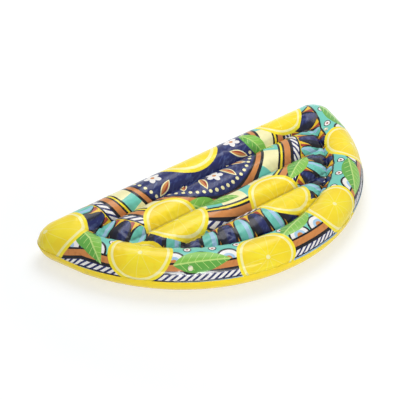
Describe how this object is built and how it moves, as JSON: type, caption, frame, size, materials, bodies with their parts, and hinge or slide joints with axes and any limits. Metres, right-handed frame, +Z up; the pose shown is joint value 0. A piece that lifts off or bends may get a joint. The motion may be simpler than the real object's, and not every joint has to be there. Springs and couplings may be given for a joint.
{
  "type": "inflatable pool lounger",
  "caption": "D-shaped inflatable pool lounger: a ring tube round three welded ribs, printed on top, with two push-in air valves.",
  "frame": {"origin": "middle of the lounger's bounding box, on the floor that it rests on", "axes": "+X along the straight back edge, +Y towards that edge, the curved front at -Y, +Z up"},
  "size_m": [1.76, 0.87, 0.1782],
  "materials": {
    "printed_film": "glossy printed PVC film, 0.3 mm",
    "yellow_film": "glossy yellow PVC film, 0.3 mm",
    "plain_film": "plain milky PVC film, 0.3 mm",
    "soft_vinyl": "clear soft moulded PVC"
  },
  "bodies": {
    "lounger_body": {"top_sheet": "printed_film", "bottom_sheet": "yellow_film", "back_web": "plain_film", "arc_web": "plain_film", "long_rib_web": "plain_film", "short_rib_web": "plain_film", "left_chamber_wall": "plain_film", "right_chamber_wall": "plain_film", "front_valve_flange": "soft_vinyl", "right_valve_flange": "soft_vinyl"},
    "front_stem": {"front_valve_stem": "soft_vinyl", "front_valve_strap": "soft_vinyl"},
    "front_plug": {"front_valve_plug": "soft_vinyl"},
    "front_flap": {"front_valve_flap": "soft_vinyl"},
    "right_stem": {"right_valve_stem": "soft_vinyl", "right_valve_strap": "soft_vinyl"},
    "right_plug": {"right_valve_plug": "soft_vinyl"},
    "right_flap": {"right_valve_flap": "soft_vinyl"}
  },
  "joints": [
    {"name": "front_stem_push", "type": "slide", "parent": "lounger_body", "child": "front_stem", "axis": [-0.4693, -0.6234, 0.6254], "range_m": [0, 0.013]},
    {"name": "front_plug_hinge", "type": "hinge", "parent": "front_stem", "child": "front_plug", "pos_m": [-0.50918, -0.23494, 0.14592], "axis": [-0.3761, -0.4997, -0.7803], "range_deg": [0, 135]},
    {"name": "front_flap_hinge", "type": "hinge", "parent": "front_stem", "child": "front_flap", "pos_m": [-0.488, -0.23242, 0.1341], "axis": [-0.3761, -0.4997, -0.7803], "range_deg": [0, 60], "stiffness_Nm_per_rad": 0.0001},
    {"name": "right_stem_push", "type": "slide", "parent": "lounger_body", "child": "right_stem", "axis": [-0.4028, 0.1842, 0.8966], "range_m": [0, 0.013]},
    {"name": "right_plug_hinge", "type": "hinge", "parent": "right_stem", "child": "right_plug", "pos_m": [0.68077, 0.15123, 0.17031], "axis": [0.8154, -0.3728, 0.4429], "range_deg": [0, 135]},
    {"name": "right_flap_hinge", "type": "hinge", "parent": "right_stem", "child": "right_flap", "pos_m": [0.69479, 0.16175, 0.15337], "axis": [0.8154, -0.3728, 0.4429], "range_deg": [0, 60], "stiffness_Nm_per_rad": 0.0001}
  ]
}
